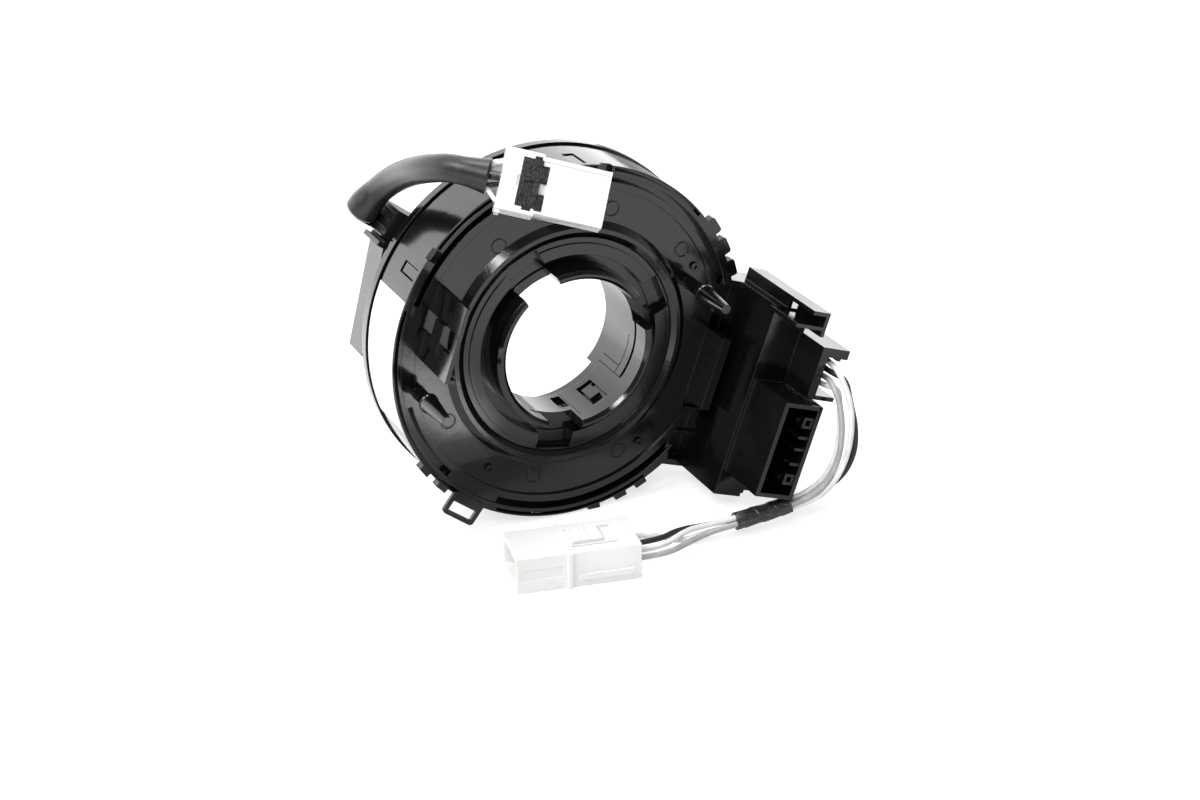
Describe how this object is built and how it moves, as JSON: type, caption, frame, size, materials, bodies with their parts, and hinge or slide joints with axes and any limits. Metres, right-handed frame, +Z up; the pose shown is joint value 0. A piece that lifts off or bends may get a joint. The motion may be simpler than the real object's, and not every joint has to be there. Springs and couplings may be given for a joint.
{
  "type": "steering clock spring",
  "caption": "Round spiral cable unit for a steering column, with an angle sensor block, sockets, a sleeved pigtail and a wire lead with white connectors.",
  "frame": {"origin": "centre of the bore, in the plane of the sensor case's near rim", "axes": "+Z up, steering axis along Y, column side towards -Y, wheel side towards +Y, connector block towards +X"},
  "size_m": [0.1289, 0.0851, 0.1209],
  "materials": {
    "case_black": "moulded black plastic with a soft shine",
    "drum_black": "glossy moulded black plastic",
    "rotor_black": "glossy moulded black plastic",
    "wheel_grey": "dark grey moulded plastic",
    "plug_black": "black moulded plastic",
    "retainer_black": "black moulded plastic",
    "connector_white": "white moulded plastic",
    "gear_white": "natural acetal",
    "magnet_dark": "sintered magnet",
    "board_green": "solder resist",
    "chip_black": "moulded chip package",
    "pin_metal": "tinned contact",
    "cable_amber": "flat copper cable in film",
    "label_white": "paper label",
    "sleeve_black": "soft black sleeve",
    "wire_black": "wire insulation",
    "wire_white": "wire insulation",
    "wire_grey": "wire insulation",
    "tape_black": "harness tape"
  },
  "bodies": {
    "case": {"sensor_case": "case_black", "block_cover": "case_black", "drum_case": "drum_black", "end_cover": "drum_black", "flat_cable": "cable_amber", "sensor_board": "board_green", "board_chips": "chip_black", "socket_pins": "pin_metal", "case_rivets": "case_black", "label": "label_white", "lead_plug": "plug_black", "lead_wire_1": "wire_white", "lead_wire_2": "wire_grey", "lead_wire_3": "wire_black", "lead_wire_4": "wire_white", "tape_wrap": "tape_black", "lead_connector": "connector_white", "lead_lock": "connector_white"},
    "rotor": {"rotor_hub": "rotor_black", "cancel_cam": "rotor_black", "drive_gear": "gear_white", "wheel_connector": "wheel_grey", "wheel_pins": "pin_metal", "pigtail_sleeve": "sleeve_black", "pigtail_wire_1": "wire_black", "pigtail_wire_2": "wire_grey", "pigtail_wire_3": "wire_black", "pigtail_connector": "connector_white", "pigtail_retainer": "retainer_black"},
    "gear_a": {"magnet_gear_1": "gear_white", "magnet_1": "magnet_dark"},
    "gear_b": {"magnet_gear_2": "gear_white", "magnet_2": "magnet_dark"}
  },
  "joints": [
    {"name": "rotor_turn", "type": "hinge", "parent": "case", "child": "rotor", "pos_m": [0, 0, 0], "axis": [0, 1, 0], "range_deg": [-720, 720], "deforming": ["flat_cable", "pigtail_sleeve", "pigtail_wire_1", "pigtail_wire_2", "pigtail_wire_3", "pigtail_connector", "pigtail_retainer"]},
    {"name": "gear_a_turn", "type": "hinge", "parent": "case", "child": "gear_a", "pos_m": [0.04322, 0.0094, -0.00577], "axis": [0, 1, 0], "range_deg": [-5330, 5330]},
    {"name": "gear_b_turn", "type": "hinge", "parent": "case", "child": "gear_b", "pos_m": [0.03756, 0.0094, -0.02134], "axis": [0, 1, 0], "range_deg": [-5770, 5770]}
  ],
  "couplings": [
    {"joint": "gear_a_turn", "follows": "rotor_turn", "ratio": -7.3846},
    {"joint": "gear_b_turn", "follows": "rotor_turn", "ratio": -8}
  ]
}
